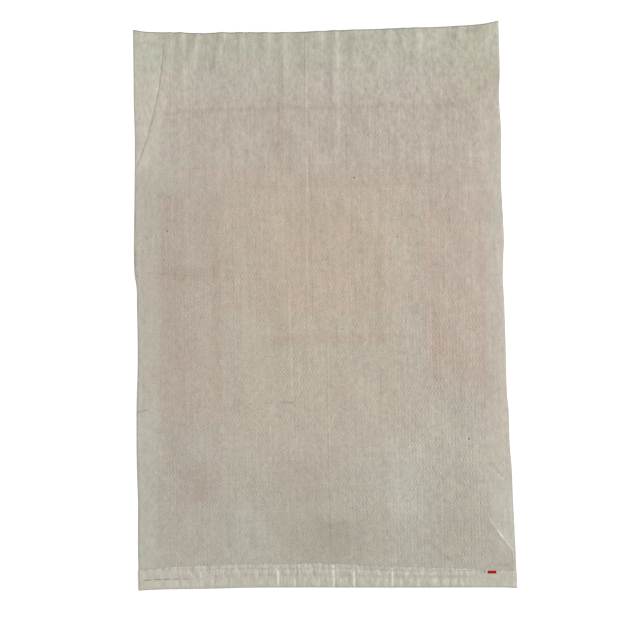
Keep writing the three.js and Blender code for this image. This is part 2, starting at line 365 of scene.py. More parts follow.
def read_table(rows, by, column, at):
    """Smooth curve through a table: the value of one column where another has the value at."""
    known = np.array([getattr(row, by) for row in rows], float)
    values = np.array([getattr(row, column) for row in rows], float)
    last = len(rows) - 1
    place = np.clip(at, known[0], known[last])
    i = np.clip(np.searchsorted(known, place) - 1, 0, last - 1)
    before = np.maximum(i - 1, 0)
    after = np.minimum(i + 2, last)
    span = known[i + 1] - known[i]
    t = (place - known[i]) / span
    start_slope = (values[i + 1] - values[before]) / (known[i + 1] - known[before]) * span
    end_slope = (values[after] - values[i]) / (known[after] - known[i]) * span
    towards_end = t * t * (3 - 2 * t)
    through = values[i] * (1 - towards_end) + values[i + 1] * towards_end
    return through + start_slope * t * (1 - t) ** 2 + end_slope * t * t * (t - 1)


def spaced(stretches, start):
    """Places from start on, evenly spread over each stretch."""
    places = [np.array([start], float)]
    for stretch in stretches:
        begin = places[-1][-1]
        length = stretch.until - begin
        count = round(length / stretch.step)
        places.append(begin + length * np.arange(1, count + 1) / count)
    return np.concatenate(places)


def left_fold(y):
    """Where the left side fold runs at the height y."""
    return read_table(SIDE_FOLDS, "y", "left", y)


def right_fold(y):
    """Where the right side fold runs at the height y."""
    return read_table(SIDE_FOLDS, "y", "right", y)


def corner_crease_x(y):
    """Where the crease of the upper left corner runs at the height y."""
    share = np.clip((y - CORNER.low_y) / (CORNER.high_y - CORNER.low_y), 0, 1)
    return CORNER.top_x - CORNER.sweep * (1 - share) ** 2


def crease_lift(x, y):
    """Height that the creases add to the front layer."""
    total = np.zeros_like(x)
    for crease in CREASES:
        start = np.array(crease.start, float)
        run = np.array(crease.end, float) - start
        length = np.hypot(*run)
        along = ((x - start[0]) * run[0] + (y - start[1]) * run[1]) / length**2
        aside = ((x - start[0]) * run[1] - (y - start[1]) * run[0]) / length
        ends = rise(along, 0, CREASE_ENDS) * rise(1 - along, 0, CREASE_ENDS)
        total += crease.height * crest(aside, crease.half) * ends
    return total


def wave_lift(x, y):
    """Slow uneven waves of the front layer."""
    rng = np.random.default_rng(SEED)
    total = np.zeros_like(x)
    for _ in range(WAVES.count):
        heading = rng.uniform(0, math.pi)
        length = rng.uniform(WAVES.shortest, WAVES.longest)
        phase = rng.uniform(0, 2 * math.pi)
        along = x * math.cos(heading) + y * math.sin(heading)
        total += np.sin(2 * math.pi * along / length + phase)
    return WAVES.height * total


def ripple_lift(x, from_mouth):
    """Ripples that run down from the mouth."""
    total = np.zeros_like(x)
    for ripple in RIPPLES:
        fade = 1 - rise(from_mouth, 0, ripple.length)
        aside = x - ripple.x - ripple.lean * from_mouth
        total = np.maximum(total, ripple.height * crest(aside, ripple.half) * fade)
    drift = sum(part.by * np.sin(x / part.over) for part in FINE_RIPPLE.drifts)
    fine = np.sin(2 * math.pi * (x + drift) / FINE_RIPPLE.step)
    fine_fade = 1 - rise(from_mouth, 0, FINE_RIPPLE.length)
    return total + FINE_RIPPLE.height * fine * fine_fade


def corner_lip(x, y):
    """Soft ridge that runs along the corner's crease."""
    aside = x - corner_crease_x(y) - CORNER.lip_half
    return CORNER.lip * crest(aside, CORNER.lip_half) * rise(y, CORNER.lip_from, CORNER.lip_full)


def front_lift(x, y, from_end, from_mouth):
    """How far the front layer stands off the back one."""
    from_left = x - left_fold(y)
    from_right = right_fold(y) - x
    from_corner = x - corner_crease_x(y)
    full = np.minimum(rise(from_left, 0, SIDE_RISE.left), rise(from_corner, 0, SIDE_RISE.corner))
    full = full * swell(from_right, read_table(RIGHT_RISE, "y", "reach", y))
    full = full * rise(from_end, HEM_RISE.start, HEM_RISE.end)
    loose = rise(np.minimum(from_left, from_corner), 0, LOOSE_FROM.left)
    loose = loose * rise(from_right, 0, LOOSE_FROM.right)
    loose = loose * rise(from_end, LOOSE_FROM.hem, LOOSE_FROM.hem_full)
    creased = rise(from_left, 0, CREASE_FROM_SIDE) * rise(from_right, 0, CREASE_FROM_SIDE)
    puff = (read_table(STAND_OFF, "y", "lift", y) + wave_lift(x, y)) * full
    return puff + corner_lip(x, y) + ripple_lift(x, from_mouth) * loose + crease_lift(x, y) * creased


def scallops(x, creases):
    """Row of bulges that meet in sharp creases."""
    places = np.array(creases, float)
    i = np.clip(np.searchsorted(places, x) - 1, 0, len(places) - 2)
    width = places[i + 1] - places[i]
    share = np.clip((x - places[i]) / width, 0, 1)
    height = np.minimum(BULGE.share * width, BULGE.most)
    return height * np.sin(np.pi * share) ** BULGE.roundness


def pleat_lift(x, share):
    """Ridges of the pleats on the flap."""
    total = np.zeros_like(x)
    for pleat in PLEATS:
        span = rise(share, pleat.start - PLEAT_ENDS, pleat.start + PLEAT_ENDS)
        span = span * (1 - rise(share, pleat.end - PLEAT_ENDS, pleat.end + PLEAT_ENDS))
        total = total + pleat.height * crest(x - pleat.x, pleat.half) * span
    return total


def flap_lift(x, share):
    """Flap's top layer: how far it stands up between the fold, the sewn line and its edge."""
    ends = np.ones_like(x)
    for end in FLAP_FLAT:
        ends = np.minimum(ends, 1 - rise((x - end.start) / (end.end - end.start), 0, 1))
    from_seam = share - read_table(FLAP, "x", "seam", x)
    bulges = np.where(from_seam < 0, scallops(x, LOW_CREASES), scallops(x, HIGH_CREASES))
    bulges = (FLAP_SWELL + bulges) * rise(np.abs(from_seam), 0, SEAM_REACH)
    bulges = bulges * (1 - (1 - BULGE.at_edge) * rise(share, 1 - SEAM_REACH, 1))
    bulges = bulges - EDGE_DROP.by * rise(share, EDGE_DROP.start, 1)
    return (bulges * ends + pleat_lift(x, share)) * rise(share, 0, FOLD_REACH)


def tube_columns():
    """Columns round the flattened tube: back from left to right, right fold, front, left fold."""
    back = (spaced(BACK_COLUMNS, -HALF_WIDTH) + HALF_WIDTH) / (2 * HALF_WIDTH)
    front = (spaced(FRONT_COLUMNS, -HALF_WIDTH)[::-1] + HALF_WIDTH) / (2 * HALF_WIDTH)
    turn = np.pi * (np.arange(1, FOLD_STEPS) / FOLD_STEPS - 0.5)
    none = np.zeros(len(turn))
    down = np.full(len(back), -np.pi / 2)
    up = np.full(len(front), np.pi / 2)
    return Values(
        share=np.concatenate([back, none + 1, front, none]),
        angle=np.concatenate([down, turn, up, -turn]),
        side=np.concatenate([0 * back, none + 1, 0 * front, none - 1]),
        back=np.concatenate([0 * back + 1, none, 0 * front, none]),
        front=np.concatenate([0 * back, none, 0 * front + 1, none]),
    )


def across(columns, radius, y):
    """Place across the sack of each column, at the height y."""
    start = left_fold(y) + FOLD_RADIUS
    end = right_fold(y) - FOLD_RADIUS
    return start + columns.share * (end - start) + columns.side * radius * np.cos(columns.angle)


def skin_base(columns, inset):
    """What the rows of one skin of the cloth share: its fold radius, its flat height and where it ends."""
    radius = FOLD_RADIUS - inset
    end_x = across(columns, radius, END_Y + 0 * columns.share)
    mouth_x = across(columns, radius, MOUTH_Y + 0 * columns.share)
    fold_y = read_table(END_FOLD, "x", "y", end_x)
    return Values(
        radius=radius,
        height=FOLD_RADIUS + radius * np.sin(columns.angle),
        end_x=end_x,
        fold_y=fold_y,
        axis_y=fold_y + TURN_HEIGHT,
        mouth_y=read_table(MOUTH_EDGE, "x", "y", mouth_x),
    )


def body_rows(columns, base):
    """Rows of the body, from the mouth to where the end turns over."""
    share = 1 - spaced(BODY_ROWS, 0)[:, None] / NOMINAL_LENGTH
    y = base.axis_y + share * (base.mouth_y - base.axis_y)
    x = across(columns, base.radius, y)
    lift = front_lift(x, y, y - base.fold_y, base.mouth_y - y)
    return dict(y=y, z=base.height + columns.front * lift, along=y, past_end=0 * y)


def turn_rows(base):
    """Rows of the half turn that brings both layers onto the front."""
    angle = np.pi * np.arange(1, TURN_STEPS + 1)[:, None] / TURN_STEPS
    radius = TURN_HEIGHT - base.height
    return dict(
        y=base.axis_y - radius * np.sin(angle),
        z=TURN_HEIGHT - radius * np.cos(angle),
        along=base.axis_y - TURN_HEIGHT * angle,
        past_end=angle / np.pi + 0 * radius,
    )


def flap_rows(columns, base):
    """Rows of the flap, to its frayed cut edge."""
    share = np.arange(1, FLAP_ROWS + 1)[:, None] / FLAP_ROWS
    fray = FRAY * np.random.default_rng(SEED).uniform(-1, 1, len(columns.share))
    under = columns.front * read_table(FLAP, "x", "under", base.end_x)
    reach = read_table(FLAP, "x", "reach", base.end_x) + under + fray
    y = base.axis_y + share * (reach - TURN_HEIGHT)
    lift = columns.back * flap_lift(base.end_x + 0 * y, share + 0 * y)
    turned = base.axis_y - TURN_HEIGHT * np.pi
    return dict(
        y=y,
        z=2 * TURN_HEIGHT - base.height + lift,
        along=turned - (y - base.axis_y),
        past_end=1 + share + 0 * y,
    )


def unrolled(columns, x):
    """Place round the tube: x on the front, and on from the right fold over the back."""
    arc = FOLD_RADIUS * columns.angle / (np.pi / 2)
    right = HALF_WIDTH - arc + 0 * x
    left = -HALF_WIDTH + arc + 0 * x
    flat = np.where(columns.back > 0, 2 * HALF_WIDTH - x, x)
    return np.where(columns.side > 0, right, np.where(columns.side < 0, left, flat))


def tube_points(columns, inset):
    """Grid of points of one skin of the cloth, rows from the mouth to the flap's cut edge, with its marks."""
    base = skin_base(columns, inset)
    parts = [body_rows(columns, base), turn_rows(base), flap_rows(columns, base)]
    keys = ("y", "z", "along", "past_end")
    y, z, along, past_end = (np.vstack([part[key] for part in parts]) for key in keys)
    x = across(columns, base.radius, y)
    return dict(
        points=np.stack([x, y, z], axis=-1),
        along=along,
        around=unrolled(columns, x),
        from_mouth=np.where(past_end > 0, NOMINAL_LENGTH, base.mouth_y - y),
        from_side=np.minimum(x - left_fold(y), right_fold(y) - x),
        past_end=past_end,
        outer=np.full(x.shape, float(inset == 0)),
    )


def skin_faces(rows, count, skin):
    """Faces of one skin, as the skin, row and column of each corner."""
    row, column = np.meshgrid(np.arange(rows - 1), np.arange(count), indexing="ij")
    steps = [(0, 0), (0, 1), (1, 1), (1, 0)] if skin == 0 else [(0, 0), (1, 0), (1, 1), (0, 1)]
    corner_rows = np.stack([row + step[0] for step in steps], axis=-1).reshape(-1, 4)
    corner_columns = np.stack([column + step[1] for step in steps], axis=-1).reshape(-1, 4)
    return np.stack([np.full_like(corner_rows, skin), corner_rows, corner_columns])


def rim_faces(count, row, skins):
    """Faces that close the cut edge along one row, from one skin to the other."""
    column = np.arange(count)
    corner_columns = np.stack([column, column, column + 1, column + 1], axis=-1)
    first, second = skins
    corner_skins = np.tile([first, second, second, first], (count, 1))
    return np.stack([corner_skins, np.full_like(corner_columns, row), corner_columns])


def with_wrap(values, jump):
    """A grid's values with its first column once more at the end, moved on by jump."""
    return np.hstack([values, values[:, :1] + jump])


def bake_columns(columns):
    """Shares across the front's and the back's box of the bake's image: each column and the first again."""
    fold = BAKE_FOLD * (columns.angle / np.pi + 0.5)
    flat = BAKE_FOLD + (1 - 2 * BAKE_FOLD) * (1 - columns.share)
    front = np.where(columns.side > 0, fold, np.where(columns.side < 0, 1 - fold, flat))
    front = np.where((columns.back > 0) & (columns.share == 1), 0, front)
    return np.append(front, 1), np.append(columns.share, 0)


def bake_rows():
    """Shares down the cloth of its rows, and of the flap's rows down the flap alone."""
    body = spaced(BODY_ROWS, 0)
    turn = NOMINAL_LENGTH + TURN_HEIGHT * np.pi * np.arange(1, TURN_STEPS + 1) / TURN_STEPS
    flap = turn[-1] + NOMINAL_FLAP * np.arange(1, FLAP_ROWS + 1) / FLAP_ROWS
    down = np.concatenate([body, turn, flap])
    past = (down - NOMINAL_LENGTH) / (down[-1] - NOMINAL_LENGTH)
    return down / down[-1], past


def bake_places(columns, corners):
    """Place of each face's corners on the bake's image."""
    skin, row, column = corners
    front, back = bake_columns(columns)
    down, past = bake_rows()
    backs = int(columns.back.sum())
    inner = (skin == 1).all(axis=1)
    rim = (skin == 1).any(axis=1) & ~inner
    on_back = (column < backs).all(axis=1) & ~inner & ~rim
    on_flap = on_back & (past[row] >= 0).all(axis=1)
    ring = column / len(columns.share)
    edge = (skin + 2 * (row > 0)) / 3
    places = bake_box("front", front[column], 1 - down[row])
    places[on_back] = bake_box("back", back[column], 1 - down[row])[on_back]
    places[on_flap] = bake_box("flap", back[column], past[row])[on_flap]
    places[inner] = bake_box("inner", ring, 1 - down[row])[inner]
    places[rim] = bake_box("rim", ring, edge)[rim]
    return places


def bake_box(name, u, v):
    """Places on the bake's image of shares u and v of one of its boxes."""
    box = BAKE_BOXES[name]
    low = np.array([box.u[0], box.v[0]])
    high = np.array([box.u[1], box.v[1]])
    return low + (high - low) * np.stack([u, v], axis=-1)


def make_cloth():
    """The whole sack as one closed thin sheet."""
    columns = tube_columns()
    skins = [tube_points(columns, 0.0), tube_points(columns, CLOTH)]
    rows, count = skins[0]["along"].shape
    corners = np.concatenate([
        skin_faces(rows, count, 0),
        skin_faces(rows, count, 1),
        rim_faces(count, 0, (0, 1)),
        rim_faces(count, rows - 1, (1, 0)),
    ], axis=1)
    skin, row, column = corners
    points = np.concatenate([layer["points"].reshape(-1, 3) for layer in skins]) * MM
    piece = new_piece("sack_cloth", points, (skin * rows + row) * count + column % count)
    around = np.stack([with_wrap(layer["around"], -FLAT_WIDTH) for layer in skins])
    along = np.stack([with_wrap(layer["along"], 0) for layer in skins])
    weave_places = np.stack([around[skin, row, column], along[skin, row, column]], axis=-1) * MM
    add_map(piece, "Cloth", weave_places)
    add_map(piece, "OFBake", bake_places(columns, corners))
    for mark, scale in (("from_mouth", MM), ("from_side", MM), ("past_end", 1.0), ("outer", 1.0)):
        add_mark(piece, mark, np.concatenate([layer[mark].reshape(-1) for layer in skins]) * scale)
    piece.data.set_sharp_from_angle(angle=SHARP_CLOTH)
    return piece


def new_piece(name, points, faces):
    """A smooth-shaded mesh object from points in metres and faces of corner numbers."""
    mesh = bpy.data.meshes.new(name)
    mesh.from_pydata(points.tolist(), [], [list(face) for face in faces])
    mesh.validate()
    mesh.polygons.foreach_set("use_smooth", np.ones(len(mesh.polygons), bool))
    mesh.update()
    piece = bpy.data.objects.new(name, mesh)
    bpy.context.scene.collection.objects.link(piece)
    return piece


def add_map(piece, name, places):
    """Gives each corner of a piece's faces a place on a texture."""
    layer = piece.data.uv_layers.new(name=name)
    layer.data.foreach_set("uv", places.reshape(-1).astype(np.float32))


def add_mark(piece, name, values):
    """Gives each point of a piece a number that its material can read."""
    attribute = piece.data.attributes.new(name, "FLOAT", "POINT")
    attribute.data.foreach_set("value", values.astype(np.float32))


# Sewing: one line of stitches along the flap, each followed by a small bead where the thread goes in
STITCH = Values(first=-265, last=268, step=14.4, length=12, radius=0.55, bead=2.2, bead_radius=0.8)
THREAD_SHAPE = Values(sides=6, steps=8, thin=0.6, bow=0.9, sunk=0.45)
# Stitches at the left end are painted dark, as the shade of thread sunk into the cloth
SHADED_STITCHES = Values(start=-208, end=-190)


def flap_surface(x, share):
    """Point on top of the flap at the place x across it and the share of its reach."""
    fold_y = read_table(END_FOLD, "x", "y", x)
    reach = read_table(FLAP, "x", "reach", x)
    y = fold_y + TURN_HEIGHT + share * (reach - TURN_HEIGHT)
    return y, 2 * TURN_HEIGHT + flap_lift(x, share)


def stitch_tube(start, length, thickness):
    """Rings of points for one stitch, which bows out of the cloth between its two ends."""
    share = np.linspace(0, 1, THREAD_SHAPE.steps + 1)
    x = start + length * share
    y, z = flap_surface(x, read_table(FLAP, "x", "seam", x))
    bow = np.sin(np.pi * share)
    radius = thickness * (THREAD_SHAPE.thin + (1 - THREAD_SHAPE.thin) * np.sqrt(bow))
    z = z + thickness * (THREAD_SHAPE.bow * bow - THREAD_SHAPE.sunk)
    turn = 2 * np.pi * np.arange(THREAD_SHAPE.sides) / THREAD_SHAPE.sides
    ring_y = y[:, None] + radius[:, None] * np.cos(turn)
    ring_z = z[:, None] + radius[:, None] * np.sin(turn)
    return np.stack([x[:, None] + 0 * ring_y, ring_y, ring_z], axis=-1).reshape(-1, 3)


def tube_faces(base):
    """Faces of one stitch whose points start at the number base."""
    sides = THREAD_SHAPE.sides
    steps = THREAD_SHAPE.steps
    ring, corner = np.meshgrid(np.arange(steps), np.arange(sides), indexing="ij")
    after = (corner + 1) % sides
    here = ring * sides + base
    quads = [here + corner, here + sides + corner, here + sides + after, here + after]
    faces = np.stack(quads, axis=-1).reshape(-1, 4).tolist()
    faces.append([base + k for k in range(sides)])
    faces.append([base + steps * sides + k for k in reversed(range(sides))])
    return faces


def make_thread():
    """All the stitches and the beads between them in one mesh."""
    tubes = []
    shades = []
    gap = STITCH.step - STITCH.length
    for start in np.arange(STITCH.first, STITCH.last - STITCH.length, STITCH.step):
        bead_start = start + STITCH.length + (gap - STITCH.bead) / 2
        tubes.append(stitch_tube(start, STITCH.length, STITCH.radius))
        shades.append(1 - rise(tubes[-1][:, 0], SHADED_STITCHES.start, SHADED_STITCHES.end))
        tubes.append(stitch_tube(bead_start, STITCH.bead, STITCH.bead_radius))
        shades.append(np.zeros(len(tubes[-1])))
    faces = []
    for number, tube in enumerate(tubes):
        faces.extend(tube_faces(number * len(tube)))
    piece = new_piece("sewing_thread", np.concatenate(tubes) * MM, faces)
    add_mark(piece, "shade", np.concatenate(shades))
    return piece


# The red tab on the flap
TAB = Values(x=241.2, width=12.3, height=4.55, tilt=-0.02, thickness=0.3, from_edge=-0.3, lift=0.12,
             dome=0.12, flat_along=6, flat_across=4, columns=24, rows=10)
SHARP_TAB = math.radians(50)


def tab_middle():
    """Where the middle of the tab lies along the sack, just below the flap's cut edge."""
    edge_y = read_table(END_FOLD, "x", "y", TAB.x) + read_table(FLAP, "x", "reach", TAB.x)
    return float(edge_y - TAB.from_edge - TAB.height / 2)


def make_tab():
    """The red tab: a thin domed ribbon that lies on the flap."""
    u = np.linspace(-0.5, 0.5, TAB.columns + 1)[:, None]
    v = np.linspace(-0.5, 0.5, TAB.rows + 1)[None, :]
    x = TAB.x + TAB.width * u + 0 * v
    y = tab_middle() + TAB.height * v + TAB.tilt * TAB.width * u
    base = 2 * TURN_HEIGHT + TAB.lift
    dome = TAB.dome * (1 - (2 * u) ** TAB.flat_along) * (1 - (2 * v) ** TAB.flat_across)
    top = np.stack([x, y, base + TAB.thickness + dome], axis=-1).reshape(-1, 3)
    bottom = np.stack([x, y, base + 0 * dome], axis=-1).reshape(-1, 3)
    faces = slab_faces(TAB.columns, TAB.rows)
    piece = new_piece("red_ribbon_tab", np.concatenate([top, bottom]) * MM, faces)
    piece.data.set_sharp_from_angle(angle=SHARP_TAB)
    return piece


def slab_faces(columns, rows):
    """Faces of a slab whose top and bottom are grids of points, one after the other."""
    count = rows + 1
    size = (columns + 1) * count
    i, j = np.meshgrid(np.arange(columns), np.arange(rows), indexing="ij")
    first = i * count + j
    top = np.stack([first, first + count, first + count + 1, first + 1], axis=-1).reshape(-1, 4)
    rim = border_loop(columns, rows)
    after = np.roll(rim, -1)
    walls = np.stack([rim + size, after + size, after, rim], axis=-1)
    return np.concatenate([top, top[:, ::-1] + size, walls])


def border_loop(columns, rows):
    """Corner numbers round the edge of a grid, against the clock."""
    count = rows + 1
    low = np.arange(columns) * count
    right = columns * count + np.arange(rows)
    high = np.arange(columns, 0, -1) * count + rows
    left = np.arange(rows, 0, -1)
    return np.concatenate([low, right, high, left])


class Field:
    """A number that varies over a surface: arithmetic on it adds math nodes to its material."""

    def __init__(self, tree, socket):
        self.tree = tree
        self.socket = socket

    def math(self, operation, *others):
        """The result of a math node on this number and others."""
        node = self.tree.nodes.new("ShaderNodeMath")
        node.operation = operation
        for slot, value in zip(node.inputs, (self, *others)):
            set_input(self.tree, slot, value)
        return Field(self.tree, node.outputs[0])

    def __add__(self, other):
        return self.math("ADD", other)

    def __sub__(self, other):
        return self.math("SUBTRACT", other)

    def __rsub__(self, other):
        return self.math("MULTIPLY_ADD", -1.0, other)

    def __mul__(self, other):
        return self.math("MULTIPLY", other)

    __radd__ = __add__
    __rmul__ = __mul__

    def after(self, other):
        """The same number, worked out after another one, so that a big shader holds few numbers at a time."""
        return other.math("MULTIPLY_ADD", 0.0, self)

    def rise(self, start, end):
        """Goes smoothly from 0 where the number is start to 1 where it is end."""
        node = self.tree.nodes.new("ShaderNodeMapRange")
        node.interpolation_type = "SMOOTHSTEP"
        for slot, value in zip(node.inputs, (self, start, end)):
            set_input(self.tree, slot, value)
        return Field(self.tree, node.outputs[0])

    def near(self, place, half, full=0.0):
        """1 where the number is within full of a place, fading to 0 where it is half away from it."""
        return (self - place).math("ABSOLUTE").rise(half, full)

    def between(self, limits, soft):
        """1 where the number lies between two limits, with soft ends."""
        low, high = limits
        half = (high - low) / 2
        return self.near((low + high) / 2, half + soft, half - soft)


def set_input(tree, slot, value):
    """Links a field or a socket to a node's input, or sets the input to a plain value."""
    if isinstance(value, Field):
        tree.links.new(value.socket, slot)
    elif isinstance(value, bpy.types.NodeSocket):
        tree.links.new(value, slot)
    else:
        slot.default_value = value


def new_material(name):
    """An empty node material with its surface shader."""
    material = bpy.data.materials.new(name)
    material.use_nodes = True
    tree = material.node_tree
    shader = tree.nodes["Principled BSDF"]
    return material, tree, shader


def attribute_field(tree, name):
    """Number that a piece's points carry under a name."""
    node = tree.nodes.new("ShaderNodeAttribute")
    node.attribute_name = name
    return Field(tree, node.outputs["Fac"])


def in_millimetres(tree, socket):
    """First two parts of a place in metres, as fields in millimetres."""
    split = tree.nodes.new("ShaderNodeSeparateXYZ")
    tree.links.new(socket, split.inputs[0])
    return Field(tree, split.outputs[0]) * (1 / MM), Field(tree, split.outputs[1]) * (1 / MM)


def cloth_places(tree):
    """Places round and along the tube from the cloth's own texture map."""
    node = tree.nodes.new("ShaderNodeUVMap")
    node.uv_map = "Cloth"
    return in_millimetres(tree, node.outputs["UV"])


def joined(tree, x, y, depth=0.0):
    """Place made of two fields and a fixed depth."""
    node = tree.nodes.new("ShaderNodeCombineXYZ")
    for slot, value in zip(node.inputs, (x, y, depth)):
        set_input(tree, slot, value)
    return node.outputs[0]


def noise(tree, x, y, cloud):
    """Cloudy number from about -1 to 1, with clouds of one size, tall times as long as they are wide."""
    length = cloud.size * getattr(cloud, "tall", 1)
    place = joined(tree, x * (1 / cloud.size), y * (1 / length), cloud.seed)
    node = tree.nodes.new("ShaderNodeTexNoise")
    node.inputs["Scale"].default_value = 1.0
    node.inputs["Detail"].default_value = cloud.detail
    tree.links.new(place, node.inputs["Vector"])
    return Field(tree, node.outputs["Fac"]) * 2.0 - 1.0


def tape_noise(tree, number, seed):
    """A random number from -1 to 1 for each tape."""
    node = tree.nodes.new("ShaderNodeTexWhiteNoise")
    node.noise_dimensions = "1D"
    set_input(tree, node.inputs["W"], number + seed)
    return Field(tree, node.outputs["Value"]) * 2.0 - 1.0


# Numbers of a mix node's sockets for colours, which share their names with those for other kinds of value
MIX = Values(share=0, first=6, second=7, result=2)


def blend(tree, share, first, second):
    """Colour that goes from first to second with share."""
    node = tree.nodes.new("ShaderNodeMix")
    node.data_type = "RGBA"
    for number, value in ((MIX.share, share), (MIX.first, first), (MIX.second, second)):
        set_input(tree, node.inputs[number], value)
    return node.outputs[MIX.result]


def colour_of(tree, channels):
    """Colour made of fields for red, green and blue."""
    node = tree.nodes.new("ShaderNodeCombineColor")
    for slot, channel in zip(node.inputs, channels):
        set_input(tree, slot, channel)
    return node.outputs[0]


def add_bump(tree, shader, height, distance, strength=1.0):
    """Shades a surface as if it stood up by the height times the distance in metres."""
    bump = tree.nodes.new("ShaderNodeBump")
    bump.inputs["Strength"].default_value = strength
    bump.inputs["Distance"].default_value = distance
    tree.links.new(height.socket, bump.inputs["Height"])
    tree.links.new(bump.outputs["Normal"], shader.inputs["Normal"])


def linear(red, green, blue):
    """Colour for a shader from the values 0 to 255 that a screen shows."""
    channels = [value / 255 for value in (red, green, blue)]
    light = [c / 12.92 if c <= 0.04045 else ((c + 0.055) / 1.055) ** 2.4 for c in channels]
    return (*light, 1.0)


# Weave: pitch of the flat tapes and how unevenly they are drawn aside
WARP_PITCH = 2.43
WEFT_PITCH = 2.65
PICK_GROUP = 4
WARP_DRAWN = [Values(size=60, detail=1, seed=63, by=2.2), Values(size=9, detail=1, seed=12, by=0.7)]
WEFT_DRAWN = [Values(size=60, detail=1, seed=68, by=2.2), Values(size=9, detail=1, seed=17, by=0.7)]

# How strongly the weave changes the tone: checks that lean to one side or the other, which are painted shade
# and sheen of the tapes where they cross, chains that zigzag down the sack, and dashes in rows at the lower
# right
CHECKER = 0.105
LEAN = Values(size=14, detail=1, seed=15, tall=1.7, by=1.1)
PATCHY = Values(size=45, detail=2, seed=5, by=0.9)
SWAY = Values(size=40, detail=1, seed=75, by=2.5)
CHAINS = Values(size=70, detail=2, seed=85, start=-0.45, full=0.4, swing=1.6, tone=0.078)
DASHES = Values(x=(60, 160), y=(60, -60), margin=(246, 230), row=(-0.2, 0.9), tone=0.13)

# Tapes and crossings that are lighter or darker than the rest
CELL = Values(seed=0.5, stride=57, tone=0.04)
FLECK = Values(power=9, tone=0.09)
WARP_TAPE = Values(seed=0.5, tone=0.024)
WEFT_TAPE = Values(seed=900.5, tone=0.009)

# Clouds and upright streaks of the cloth, stronger near the mouth, and where the weave shows less; the clouds
# are partly the cloth's uneven tone and partly painted shade of its small lumps, the crinkles painted light
# and shade of fine wrinkles
CLOUDS = Values(size=19, detail=4, seed=45, tall=1.5, tone=0.085)
CRINKLES = Values(size=5, detail=2, seed=95, tall=2, tone=0.22,
                  anywhere=0.6, right=(-60, 160), more=0.45)
STREAKY = Values(size=4.6, detail=1, seed=55, tall=20, tone=0.1,
                 anywhere=0.35, y=(-60, 300), soft=60, more=0.5)
SLOW_STREAKS = Values(size=9, detail=2, seed=2, tall=25, tone=0.016)
MOUTH = Values(reach=330, clouds=1, crinkles=0.5, weave=0.35)
SMOOTH = Values(from_side=(45, 20), side=0.35, flap=0.45)
RELIEF = Values(weave=0.1, clouds=0.5, sharpness=0.5)
ROUGHNESS = Values(size=40, detail=2, seed=20, by=0.05, mean=0.5)

# Gathers of the flap: uneven domes that meet in sharp creases
GATHERS = [Values(width=9, length=15, height=1.1), Values(width=4.6, length=9, height=0.45)]
GATHERED = Values(x=(-225, 225), soft=25)
